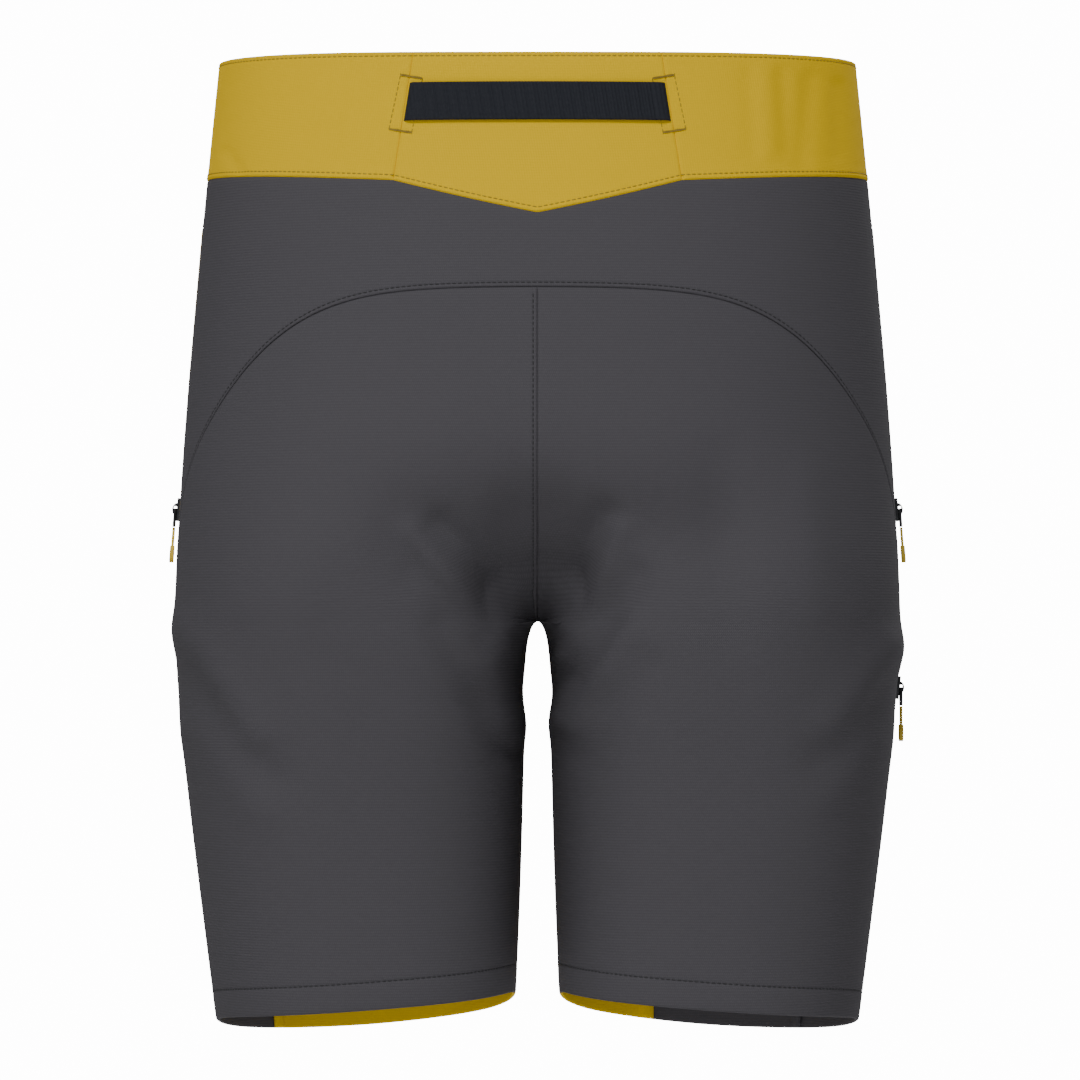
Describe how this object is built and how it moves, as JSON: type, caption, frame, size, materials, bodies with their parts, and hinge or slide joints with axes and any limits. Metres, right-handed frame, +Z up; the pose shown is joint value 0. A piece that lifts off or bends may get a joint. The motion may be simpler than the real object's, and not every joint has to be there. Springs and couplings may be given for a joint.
{
  "type": "padded impact shorts",
  "caption": "Above-the-knee shorts with sewn-in foam pads at tailbone, seat, hips and thighs, a deep waistband with a snap tab, and zipped fly and pockets.",
  "frame": {"origin": "middle of the waist opening, at the height of the waist edge over the wearer's sides", "axes": "+Z up, towards the waist; -Y the way the wearer faces; +X the wearer's left"},
  "size_m": [0.3524, 0.2354, 0.4652],
  "materials": {
    "waistband_knit": "matt ribbed knit",
    "elastic": "matt woven webbing",
    "facing_tricot": "soft brushed tricot",
    "shell_grey": "matt plain weave",
    "shell_yellow": "matt plain weave",
    "pocket_mesh": "knitted mesh",
    "pad_mesh": "knitted mesh",
    "pad_foam": "satin moulded foam",
    "snap_cap": "satin",
    "snap_nickel": "satin",
    "zip_coil": "matt",
    "zip_metal": "satin",
    "pull_cord": "braided cord with a moulded grip"
  },
  "bodies": {
    "shorts": {"waistband_back": "waistband_knit", "waistband_left": "waistband_knit", "waistband_right": "waistband_knit", "rear_elastic": "elastic", "facing_back": "facing_tricot", "facing_left": "facing_tricot", "facing_right": "facing_tricot", "back_yoke": "shell_grey", "back_panel_left": "shell_grey", "back_panel_right": "shell_grey", "front_panel_right_outer": "shell_grey", "front_panel_left": "shell_yellow", "front_panel_right_inner": "shell_yellow", "fly_shield": "shell_yellow", "hand_pocket_bag_left": "pocket_mesh", "hand_pocket_bag_right": "pocket_mesh", "thigh_pocket_bag": "pocket_mesh", "snap_stud_upper": "snap_nickel", "snap_post_upper": "snap_nickel", "snap_stud_lower": "snap_nickel", "snap_post_lower": "snap_nickel", "hand_left_zip_chain": "zip_coil", "hand_right_zip_chain": "zip_coil", "thigh_zip_chain": "zip_coil", "fly_zip_chain": "zip_coil", "tailbone_pad": "pad_foam", "tailbone_pad_pocket": "pad_mesh", "seat_left_pad": "pad_foam", "seat_left_pad_pocket": "pad_mesh", "seat_right_pad": "pad_foam", "seat_right_pad_pocket": "pad_mesh", "hip_left_pad": "pad_foam", "hip_left_pad_pocket": "pad_mesh", "hip_right_pad": "pad_foam", "hip_right_pad_pocket": "pad_mesh", "thigh_left_pad": "pad_foam", "thigh_left_pad_pocket": "pad_mesh", "thigh_right_pad": "pad_foam", "thigh_right_pad_pocket": "pad_mesh"},
    "waist_tab": {"waist_tab": "waistband_knit", "snap_cap_upper": "snap_cap", "snap_cap_lower": "snap_cap", "snap_socket_upper": "snap_nickel", "snap_socket_lower": "snap_nickel"},
    "hand_left_slider": {"hand_left_zip_slider": "zip_metal"},
    "hand_left_pull": {"hand_left_zip_link": "zip_metal", "hand_left_zip_cord": "pull_cord"},
    "hand_right_slider": {"hand_right_zip_slider": "zip_metal"},
    "hand_right_pull": {"hand_right_zip_link": "zip_metal", "hand_right_zip_cord": "pull_cord"},
    "thigh_slider": {"thigh_zip_slider": "zip_metal"},
    "thigh_pull": {"thigh_zip_link": "zip_metal", "thigh_zip_cord": "pull_cord"},
    "fly_slider": {"fly_zip_slider": "zip_metal"},
    "fly_pull": {"fly_zip_link": "zip_metal", "fly_zip_cord": "pull_cord"}
  },
  "joints": [
    {"name": "waist_tab_fold", "type": "hinge", "parent": "shorts", "child": "waist_tab", "pos_m": [0.0134, -0.10215, -0.0465], "axis": [0, 0.0702, 0.9975], "range_deg": [0, 150]},
    {"name": "hand_left_zip_travel", "type": "slide", "parent": "shorts", "child": "hand_left_slider", "axis": [-0.0783, 0.0375, 0.9962], "range_m": [0, 0.127]},
    {"name": "hand_left_pull_swing", "type": "hinge", "parent": "hand_left_slider", "child": "hand_left_pull", "pos_m": [0.17321, -0.00306, -0.21232], "axis": [-0.0057, -0.9993, 0.0372], "range_deg": [0, 150]},
    {"name": "hand_right_zip_travel", "type": "slide", "parent": "shorts", "child": "hand_right_slider", "axis": [0.0783, 0.0375, 0.9962], "range_m": [0, 0.127]},
    {"name": "hand_right_pull_swing", "type": "hinge", "parent": "hand_right_slider", "child": "hand_right_pull", "pos_m": [-0.17321, -0.00306, -0.21232], "axis": [-0.0057, 0.9993, -0.0372], "range_deg": [0, 150]},
    {"name": "thigh_zip_travel", "type": "slide", "parent": "shorts", "child": "thigh_slider", "axis": [-0.1108, -0.0093, 0.9938], "range_m": [-0.107, 0]},
    {"name": "thigh_pull_swing", "type": "hinge", "parent": "thigh_slider", "child": "thigh_pull", "pos_m": [-0.17417, -0.0116, -0.29778], "axis": [-0.0489, 0.9988, 0.0039], "range_deg": [-5, 140]},
    {"name": "fly_zip_travel", "type": "slide", "parent": "shorts", "child": "fly_slider", "axis": [0, 0.0077, 1], "range_m": [-0.098, 0]},
    {"name": "fly_pull_swing", "type": "hinge", "parent": "fly_slider", "child": "fly_pull", "pos_m": [0, -0.10695, -0.08748], "axis": [-1, 0, 0], "range_deg": [0, 150]}
  ]
}
